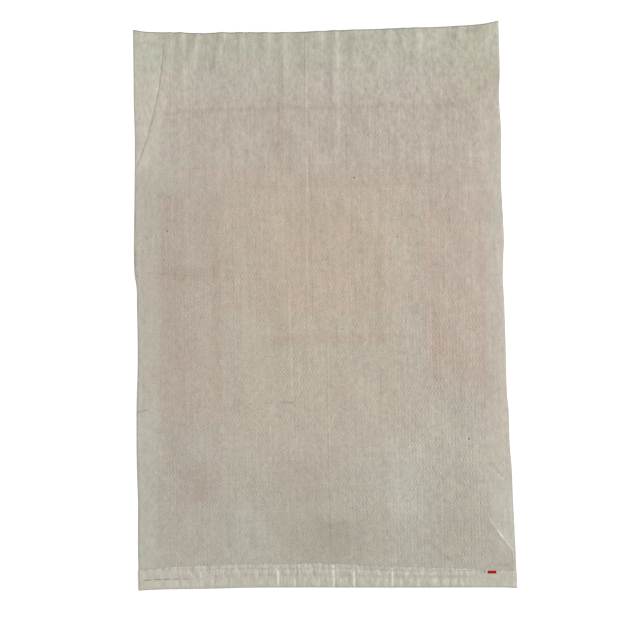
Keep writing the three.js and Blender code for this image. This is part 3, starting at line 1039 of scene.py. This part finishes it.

# Tints of the cloth: what soft-edged rectangles on the front add to red, green and blue, in screen levels.
# Some are the cloth's own hue and print, others painted light and shade that offset or stand in for the
# shading of its shape
BASE_SHARE = 0.79
CLOTH_TONE = (184, 176, 162)
DARKEST = 0.05
LEVEL = 0.0055
FLAP_LEVELS = (4, 8.5, 7.5)
HUES = [
    Values(size=17, detail=2, seed=60, levels=(4, -2, -1)),
    Values(size=22, detail=2, seed=70, levels=(-2, 3, 0)),
]
TINTS = table(
    "x y soft levels",
    # Mouth, with painted shade at the upper right and a painted shadow beside a crease at the right corner
    ((-400, 400), (356, 500), (25, 12), (-1, 4, 1)),
    ((-400, 400), (304, 352), (25, 14), (2, 2, 2)),
    ((-225, -95), (190, 420), (20, 25), (3, 3, 3)),
    ((165, 400), (288, 362), (20, 10), (-3, -3, -4)),
    ((200, 400), (300, 500), (30, 14), (-6, -5, -7)),
    ((225, 248), (372, 420), (8, 8), (-5, -5, -4)),
    ((258, 400), (352, 420), (6, 10), (6, 4, 5)),
    # Flattened corner: lighter, partly as painted light that offsets the shade of its slope away from the key
    ((-400, -232), (300, 415), (16, 20), (9, 10, 8)),
    ((-400, -240), (205, 300), (14, 20), (13, 14, 12)),
    ((-255, -168), (288, 362), (12, 16), (4, 5, 4)),
    ((-244, -195), (180, 290), (10, 14), (3, 5, 5)),
    # Margins: painted light on the left and beyond the lower right crease and painted shade along the right,
    # against the shading of the front's rise, and a greener lower left
    ((-400, -242), (-420, 215), (6, 14), (4, 4, 3)),
    ((-400, -244), (-420, -140), (6, 30), (0, 4, 5)),
    ((236, 262), (-150, 165), (6, 14), (-3, -4, -4)),
    ((246, 400), (-200, 160), (6, 14), (-1, -2, -3)),
    ((246, 400), (170, 290), (8, 14), (-2, -2, -4)),
    ((250, 400), (-368, -285), (12, 14), (7, 9, 9)),
    # Band below the mouth, with painted shade of an upright ripple left of the middle
    ((-240, 250), (190, 310), (14, 14), (1, -2, -2)),
    ((-66, -40), (190, 290), (8, 14), (-3, -3, -4)),
    ((168, 238), (200, 298), (14, 16), (-6, -5, -5)),
    ((-100, 135), (170, 182), (20, 5), (-1, -4, -3)),
    ((-215, 240), (178, 204), (14, 10), (2, -2, -2)),
    ((135, 243), (168, 200), (14, 8), (-3, -4, -4)),
    # Left panel
    ((-236, -143), (-170, 164), (5, 12), (-1, -6, -6)),
    ((-233, -150), (40, 56), (7, 5), (-4, -6, -6)),
    ((-198, -162), (-300, 165), (10, 14), (3, 3, 3)),
    ((-233, -146), (-250, -170), (5, 7), (-3, -4, -3)),
    ((-233, -146), (-365, -250), (5, 14), (2, 0, 2)),
    ((-202, -156), (-292, -247), (16, 16), (-7, -11, -11)),
    # Middle panel
    ((-143, 150), (-15, 180), (14, 14), (3, -3, -4)),
    ((-75, 100), (-35, 145), (26, 26), (2, -1, -3)),
    ((-85, 95), (-63, -47), (14, 6), (-1, -6, -5)),
    ((-138, 148), (-195, -15), (20, 30), (1, -1, -3)),
    ((105, 146), (40, 175), (16, 14), (4, 4, 3)),
    # Right panel
    ((150, 166), (-110, 160), (6, 30), (2, -4, -4)),
    ((163, 244), (-120, 172), (6, 34), (0, -8, -8)),
    ((172, 236), (-20, 92), (16, 24), (3, 3, 3)),
    ((190, 246), (-190, -80), (10, 20), (-4, -5, -4)),
    # Lower end
    ((-400, 400), (-420, -235), (34, 34), (-5, -3, -3)),
    ((-80, 28), (-292, -212), (20, 18), (-2, -4, -4)),
    ((-60, 62), (-390, -312), (14, 10), (-4, -4, -4)),
    ((-16, 32), (-372, -326), (16, 14), (-6, -6, -6)),
    ((-140, -84), (-375, -298), (14, 14), (2, 4, 5)),
    ((104, 148), (-376, -300), (14, 14), (2, 4, 4)),
    ((94, 150), (-320, -205), (18, 34), (8, 9, 9)),
)
TINT_WANDER = [
    Values(size=26, detail=3, seed=30, by=6),
    Values(size=30, detail=3, seed=40, tall=2, by=9),
]
SPOTS = table(
    "x y radius tone",
    (54, 184, 1.7, -1.0),
    (115.2, 94.4, 1.6, -0.6),
    (213, -204, 1.7, -1.0),
    (-225.5, 110.5, 2.2, -0.45),
    (-231, 67.3, 1.6, -0.45),
    (-257, 100.7, 3, -0.14),
    (-263, 81.4, 2.2, -0.16),
    (-264, 42.6, 1.8, -0.25),
    (-271, 44.3, 2, -0.3),
    (138.1, 125.2, 1.6, -0.4),
)

# Light and dark on the flap: a dark mark at its edge, light along its fold and at its ends, its frayed edge,
# and painted shade on the layer that shows past it
FLAP_MARK = Values(x=231, share=0.918, half=2.6, span=0.065, tone=-1.0)
FLAP_LIGHT = Values(fold=1.08, fold_half=0.25, fold_full=0.08, fold_tone=0.04, left=(-130, -200),
                    left_tone=0.045, right=(150, 190), right_tone=0.02, start=1, full=1.1)
FRAYED = Values(seed=300.5, start=1.9, full=1.97, tone=0.16)
UNDER_STRIP_SHADE = Values(x=(50, 110), soft=20, start=1.6, full=1.8, tone=-0.08)

# Painted shade as dark lines along the edges, where shadow falls at the cut mouth, along the side folds and
# at the
# turned end: tone and width of each, and how uneven the side folds' line is
EDGE_SHADE = Values(mouth=-0.62, mouth_width=2.4, sides=-0.25, sides_width=2.4,
                    turn=-0.6, turn_from=0.5, turn_to=0.85)
UNEVEN = Values(size=35, detail=2, seed=12, start=-0.5, full=0.5)
TURN_SOFT = 0.15

# Where the front's marks end round the side folds and the turned end, and where the flap begins past the end
FRONT_ENDS = Values(around=2, past_end=0.3)
FLAP_BEGINS = Values(start=0.6, full=1)


def line_mask(x, y, line):
    """1 on a straight line between two points, fading out to its sides and along its ends."""
    start = Vector(line.start)
    end = Vector(line.end)
    middle = start.lerp(end, 0.5)
    run = end - start
    unit = run.normalized()
    from_middle = slanted(x, y, unit / run.length, middle)
    aside = slanted(x, y, Vector((unit.y, -unit.x)), middle)
    return aside.near(0.0, line.line) * from_middle.near(0.0, 0.5, 0.5 - LINE_TAPER)


def slanted(x, y, slope, middle):
    """Number that grows along a slope and is 0 in the middle."""
    return x.math("MULTIPLY_ADD", slope.x, y.math("MULTIPLY_ADD", slope.y, -slope.dot(middle)))


def spot_mask(x, y, spot):
    """1 in the middle of a small spot and 0 outside it."""
    dx = x - spot.x
    dy = y - spot.y
    return (dx * dx + dy * dy).rise(spot.radius ** 2, 0.0)


def drawn_tapes(tree, place, around, along, draws, pitch):
    """Number of the tape at each place, where the tapes are drawn aside unevenly."""
    for draw in draws:
        place = place + noise(tree, around, along, draw) * draw.by
    return place * (1 / pitch)


def weave_tone(tree, warp, weft, around, along, x, on_front):
    """Light and dark of the plain weave: painted shade and sheen of the tapes that pass over and under each
    other.
    """
    warp_wave = (warp * math.pi).math("SINE")
    checker = warp_wave * (weft * math.pi).math("SINE")
    skew = (warp * math.pi).math("COSINE") * (weft * math.pi).math("COSINE")
    lean = noise(tree, around, along, LEAN) * LEAN.by
    patchy = noise(tree, around, along, PATCHY) * PATCHY.by + 1.0
    dashed = x.rise(*DASHES.x) * along.rise(*DASHES.y) * x.rise(*DASHES.margin) * on_front
    row = (weft * (2 * math.pi / PICK_GROUP)).math("COSINE").rise(*DASHES.row)
    tone = (checker + skew * lean) * patchy * CHECKER
    tone = tone + warp_wave * row * dashed * patchy * DASHES.tone
    return tone + chain_tone(tree, warp, weft, around, along) * (1.0 - dashed)


def chain_tone(tree, warp, weft, around, along):
    """Chains of light and dark that zigzag down the sack, in patches."""
    turn = weft * (2 * math.pi / PICK_GROUP) + noise(tree, around, along, SWAY) * SWAY.by
    chain = (warp * math.pi + turn.math("SINE") * CHAINS.swing).math("SINE")
    patches = noise(tree, around, along, CHAINS).rise(CHAINS.start, CHAINS.full)
    return chain * patches * CHAINS.tone


def tape_tone(tree, warp, weft):
    """Single tapes and crossings that are lighter or darker than the rest."""
    warp_number = warp.math("FLOOR")
    weft_number = weft.math("FLOOR")
    cell = tape_noise(tree, warp_number + weft_number * CELL.stride, CELL.seed)
    tone = cell * CELL.tone + cell.math("POWER", FLECK.power) * FLECK.tone
    tone = tone + tape_noise(tree, warp_number, WARP_TAPE.seed) * WARP_TAPE.tone
    return tone + tape_noise(tree, weft_number, WEFT_TAPE.seed) * WEFT_TAPE.tone


def gathers(tree, x, y, gather):
    """Height of uneven domes that meet in sharp creases."""
    node = tree.nodes.new("ShaderNodeTexVoronoi")
    node.voronoi_dimensions = "2D"
    node.inputs["Scale"].default_value = 1.0
    place = joined(tree, x * (1 / gather.width), y * (1 / gather.length))
    tree.links.new(place, node.inputs["Vector"])
    distance = Field(tree, node.outputs["Distance"])
    return distance * distance * -gather.height


def weave_fields(tree, around, along, x, on_front, on_flap):
    """Tone and relief of the cloth's surface."""
    warp = drawn_tapes(tree, around, around, along, WARP_DRAWN, WARP_PITCH)
    weft = drawn_tapes(tree, along, around, along, WEFT_DRAWN, WEFT_PITCH)
    side_limits = [limit * MM for limit in SMOOTH.from_side]
    smooth = attribute_field(tree, "from_side").rise(*side_limits) * SMOOTH.side + on_flap * SMOOTH.flap
    near_mouth = attribute_field(tree, "from_mouth").rise(MOUTH.reach * MM, 0.0)
    tone = weave_tone(tree, warp, weft, around, along, x, on_front) + tape_tone(tree, warp, weft)
    tone = tone * (1.0 - smooth - near_mouth * MOUTH.weave)
    clouds = noise(tree, around, along, CLOUDS) * (near_mouth * MOUTH.clouds + 1.0)
    streaked = along.between(STREAKY.y, STREAKY.soft) * STREAKY.more + STREAKY.anywhere
    streaky = noise(tree, around, along, STREAKY) * streaked
    crinkles = noise(tree, around, along, CRINKLES) * (near_mouth * MOUTH.crinkles + CRINKLES.anywhere)
    crinkles = crinkles * (x.rise(*CRINKLES.right) * CRINKLES.more + 1.0)
    tone = tone + clouds * CLOUDS.tone + streaky * STREAKY.tone + crinkles * CRINKLES.tone
    weave = (warp * math.pi).math("SINE") * (weft * math.pi).math("SINE")
    relief = weave.math("ABSOLUTE").math("POWER", RELIEF.sharpness) * RELIEF.weave
    relief = relief + clouds * RELIEF.clouds
    gathered = x.between(GATHERED.x, GATHERED.soft) * on_flap
    for gather in GATHERS:
        relief = relief + gathers(tree, x, along, gather) * gathered
    return tone, relief


def cloth_tone(tree, x, y, on_front):
    """Lines, spots and clouds on the front, as a change of brightness: painted light and shade along the
    creases and the ripples' crests, straight lines down the front, dark spots and slow streaks.
    """
    tone = corner_crease_shading(x, y)
    for line in CREASES + STREAKS + CREST_HIGHLIGHTS_AND_SHADE:
        tone = tone + line_mask(x, y.after(tone), line) * line.tone
    for spot in SPOTS:
        tone = tone + spot_mask(x, y.after(tone), spot) * spot.tone
    return (tone + noise(tree, x, y, SLOW_STREAKS) * SLOW_STREAKS.tone) * on_front


def corner_crease_shading(x, y):
    """Painted shade along the corner's crease as a fine dark line, with a painted highlight beside it."""
    share = (y - CORNER.low_y) * (1.0 / (CORNER.high_y - CORNER.low_y))
    left = 1.0 - share
    aside = x - CORNER.top_x + left * left * CORNER.sweep
    ends = share.rise(0.0, CORNER_SHADING.low) * share.rise(CORNER_SHADING.start, CORNER_SHADING.full)
    dark = aside.near(0.0, CORNER_SHADING.half) * CORNER_SHADING.tone
    beside = aside.near(-CORNER_SHADING.light_aside, CORNER_SHADING.light_half) * CORNER_SHADING.light
    return (dark + beside) * ends


def edge_shade(tree, around, along, end):
    """Painted shade as a dark line along the cut mouth, the side folds and the end fold, uneven along them.
    """
    uneven = noise(tree, around, along, UNEVEN).rise(UNEVEN.start, UNEVEN.full)
    mouth = attribute_field(tree, "from_mouth").rise(EDGE_SHADE.mouth_width * MM, 0.0) * EDGE_SHADE.mouth
    sides = attribute_field(tree, "from_side").rise(EDGE_SHADE.sides_width * MM, 0.0) * EDGE_SHADE.sides
    turned = end.between((EDGE_SHADE.turn_from, EDGE_SHADE.turn_to), TURN_SOFT)
    return mouth + sides * uneven + turned * EDGE_SHADE.turn


def flap_tone(tree, x, end):
    """Light and dark of the flap: its pleats' painted highlights and shade, its frayed edge and mark, and
    painted shade on the layer that shows past it.
    """
    mark = x.near(FLAP_MARK.x, FLAP_MARK.half) * end.near(1.0 + FLAP_MARK.share, FLAP_MARK.span)
    tape = (x * (1 / WARP_PITCH)).math("FLOOR")
    frayed = tape_noise(tree, tape, FRAYED.seed) * end.rise(FRAYED.start, FRAYED.full)
    strip = x.between(UNDER_STRIP_SHADE.x, UNDER_STRIP_SHADE.soft) * end.rise(UNDER_STRIP_SHADE.start, UNDER_STRIP_SHADE.full)
    strip = strip * attribute_field(tree, "outer").rise(1.0, 0.0)
    fold = end.near(FLAP_LIGHT.fold, FLAP_LIGHT.fold_half, FLAP_LIGHT.fold_full) * FLAP_LIGHT.fold_tone
    left = x.rise(*FLAP_LIGHT.left) * FLAP_LIGHT.left_tone
    sides = left + x.rise(*FLAP_LIGHT.right) * FLAP_LIGHT.right_tone
    tone = fold + sides * end.rise(FLAP_LIGHT.start, FLAP_LIGHT.full)
    tone = tone + mark * FLAP_MARK.tone + frayed * FRAYED.tone + strip * UNDER_STRIP_SHADE.tone
    for pleat in PLEATS:
        crossed = end.after(tone).between((1.0 + pleat.start, 1.0 + pleat.end), PLEAT_ENDS)
        tone = tone + x.after(tone).near(pleat.x, pleat.line) * crossed * pleat.tone
    return tone


def add_levels(channels, share, levels):
    """Red, green and blue with some levels added to them where share is 1."""
    return [share.math("MULTIPLY_ADD", level * LEVEL, channel) for channel, level in zip(channels, levels)]


def tinted(tree, x, y, on_front, on_flap):
    """Red, green and blue of the cloth with its soft tints, some of which are painted light and shade."""
    channels = add_levels(linear(*CLOTH_TONE), on_flap, FLAP_LEVELS)
    for hue in HUES:
        channels = add_levels(channels, noise(tree, x, y, hue), hue.levels)
    wander_x, wander_y = TINT_WANDER
    rough_x = x + noise(tree, x, y, wander_x) * wander_x.by
    rough_y = y + noise(tree, x, y, wander_y) * wander_y.by
    for tint in TINTS:
        soft_x, soft_y = tint.soft
        blue = channels[-1]
        share = rough_x.after(blue).between(tint.x, soft_x)
        share = share * rough_y.after(blue).between(tint.y, soft_y)
        channels = add_levels(channels, share * on_front, tint.levels)
    return channels


def cloth_material():
    """Plain-woven flat tape with the tints, and with the painted light and shade of its creases, ripples and
    edges.
    """
    material, tree, shader = new_material("woven_tape")
    around, along = cloth_places(tree)
    x = HALF_WIDTH - (around - HALF_WIDTH).math("ABSOLUTE")
    end = attribute_field(tree, "past_end")
    on_front = around.rise(HALF_WIDTH + FRONT_ENDS.around, HALF_WIDTH)
    on_front = on_front * end.rise(FRONT_ENDS.past_end, 0.0) * attribute_field(tree, "outer")
    on_flap = end.rise(FLAP_BEGINS.start, FLAP_BEGINS.full)
    channels = tinted(tree, x, along, on_front, on_flap)
    tone, relief = weave_fields(tree, around, along, x, on_front, on_flap)
    tone = tone + cloth_tone(tree, x, along, on_front) + edge_shade(tree, around, along, end)
    tone = (tone + flap_tone(tree, x, end) + 1.0).math("MAXIMUM", DARKEST) * BASE_SHARE
    tree.links.new(colour_of(tree, [channel * tone for channel in channels]), shader.inputs["Base Color"])
    rough = noise(tree, around, along, ROUGHNESS) * ROUGHNESS.by + ROUGHNESS.mean
    tree.links.new(rough.socket, shader.inputs["Roughness"])
    add_bump(tree, shader, relief, MM)
    return material


# Thread and ribbon
THREAD_COLOURS = Values(light=(188, 184, 172), dark=(110, 104, 90))
THREAD_DARKEST = 0.85
THREAD_ROUGHNESS = 0.7
# Ribbon's dark and light red, and the lighter red of its long edges, which is painted light
RIBBON_COLOURS = Values(dark=(104, 2, 6), light=(140, 6, 12), edge=(212, 84, 80))
RIBBON_CLOUDS = Values(size=2, detail=2, seed=1)
RIBBON = Values(rib=0.8, rib_share=0.5, cloud_share=0.4, roughness=0.7, shine=0.1,
                relief=0.2, relief_strength=0.4)
# Width and softness of the painted light along the ribbon's long edges
RIBBON_EDGE_LIGHT = Values(width=0.9, soft=0.3)


def thread_material():
    """Twisted sewing thread, cream, with painted shade where it has sunk into the cloth."""
    material, tree, shader = new_material("sewing_thread")
    shade = attribute_field(tree, "shade") * THREAD_DARKEST
    colour = blend(tree, shade, linear(*THREAD_COLOURS.light), linear(*THREAD_COLOURS.dark))
    tree.links.new(colour, shader.inputs["Base Color"])
    shader.inputs["Roughness"].default_value = THREAD_ROUGHNESS
    return material


def tab_material():
    """Red ribbon with fine ribs, and painted light on its long edges."""
    material, tree, shader = new_material("red_ribbon")
    place = tree.nodes.new("ShaderNodeTexCoord")
    x, y = in_millimetres(tree, place.outputs["Object"])
    ribs = (x * (2 * math.pi / RIBBON.rib)).math("SINE").rise(-1.0, 1.0)
    clouds = noise(tree, x, y, RIBBON_CLOUDS).rise(-1.0, 1.0)
    share = ribs * RIBBON.rib_share + clouds * RIBBON.cloud_share
    colour = blend(tree, share, linear(*RIBBON_COLOURS.dark), linear(*RIBBON_COLOURS.light))
    from_middle = (y - tab_middle() - (x - TAB.x) * TAB.tilt).math("ABSOLUTE")
    edge_from = TAB.height / 2 - RIBBON_EDGE_LIGHT.width
    edge = from_middle.rise(edge_from, edge_from + RIBBON_EDGE_LIGHT.soft)
    colour = blend(tree, edge, colour, linear(*RIBBON_COLOURS.edge))
    tree.links.new(colour, shader.inputs["Base Color"])
    shader.inputs["Roughness"].default_value = RIBBON.roughness
    shader.inputs["Specular IOR Level"].default_value = RIBBON.shine
    add_bump(tree, shader, ribs, RIBBON.relief * MM, RIBBON.relief_strength)
    return material


# Studio: the camera's turn is in degrees
CAMERA_PLACE = (24.7, -125.6, 1500)
CAMERA_TURN = (3.7793, 1.0481, -1.0457)
CAMERA_LENS = 57.27
CAMERA_SENSOR = 36
FLOOR_SIZE = 12000
FLOOR_DROP = 0.3
FLOOR_COLOUR = (0.95, 0.95, 0.95, 1.0)
FLOOR_ROUGHNESS = 0.9
FLOOR_SHINE = 0.1
KEY_FROM = (0.58, 0.2, 0.79)
KEY_STRENGTH = 2.59
KEY_ANGLE = 30
SKY_COLOUR = (1, 1, 1, 1)
SKY_STRENGTH = 0.55


def make_camera():
    """The camera, nearly straight above the sack."""
    data = bpy.data.cameras.new("camera")
    data.lens = CAMERA_LENS
    data.sensor_width = CAMERA_SENSOR
    camera = bpy.data.objects.new("camera", data)
    camera.location = [value * MM for value in CAMERA_PLACE]
    camera.rotation_euler = [math.radians(value) for value in CAMERA_TURN]
    bpy.context.scene.collection.objects.link(camera)
    bpy.context.scene.camera = camera


def make_floor():
    """A wide plain floor just under the sack."""
    half = FLOOR_SIZE / 2
    corners = np.array([(-half, -half), (half, -half), (half, half), (-half, half)])
    points = np.column_stack([corners, np.full(len(corners), -FLOOR_DROP)]) * MM
    floor = new_piece("floor", points, np.array([[0, 1, 2, 3]]))
    material, _, shader = new_material("pale_floor")
    shader.inputs["Base Color"].default_value = FLOOR_COLOUR
    shader.inputs["Roughness"].default_value = FLOOR_ROUGHNESS
    shader.inputs["Specular IOR Level"].default_value = FLOOR_SHINE
    floor.data.materials.append(material)


def make_light():
    """A wide soft key light from the right over even light from all round."""
    sun = bpy.data.lights.new("key", "SUN")
    sun.energy = KEY_STRENGTH
    sun.angle = math.radians(KEY_ANGLE)
    key = bpy.data.objects.new("key", sun)
    key.rotation_euler = Vector(KEY_FROM).to_track_quat("Z", "Y").to_euler()
    bpy.context.scene.collection.objects.link(key)
    world = bpy.data.worlds.new("soft_sky")
    world.use_nodes = True
    sky = world.node_tree.nodes["Background"]
    sky.inputs["Color"].default_value = SKY_COLOUR
    sky.inputs["Strength"].default_value = SKY_STRENGTH
    bpy.context.scene.world = world
    bpy.context.scene.view_settings.view_transform = "Standard"


def dress():
    """Makes the pieces and says how they belong to the part."""
    cloth = make_cloth()
    cloth.data.materials.append(cloth_material())
    thread = make_thread()
    thread.data.materials.append(thread_material())
    tab = make_tab()
    tab.data.materials.append(tab_material())
    for piece in (cloth, thread, tab):
        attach(piece, "root")
    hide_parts("sack")
    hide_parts("red_tab")


make_camera()
make_floor()
make_light()
dress()
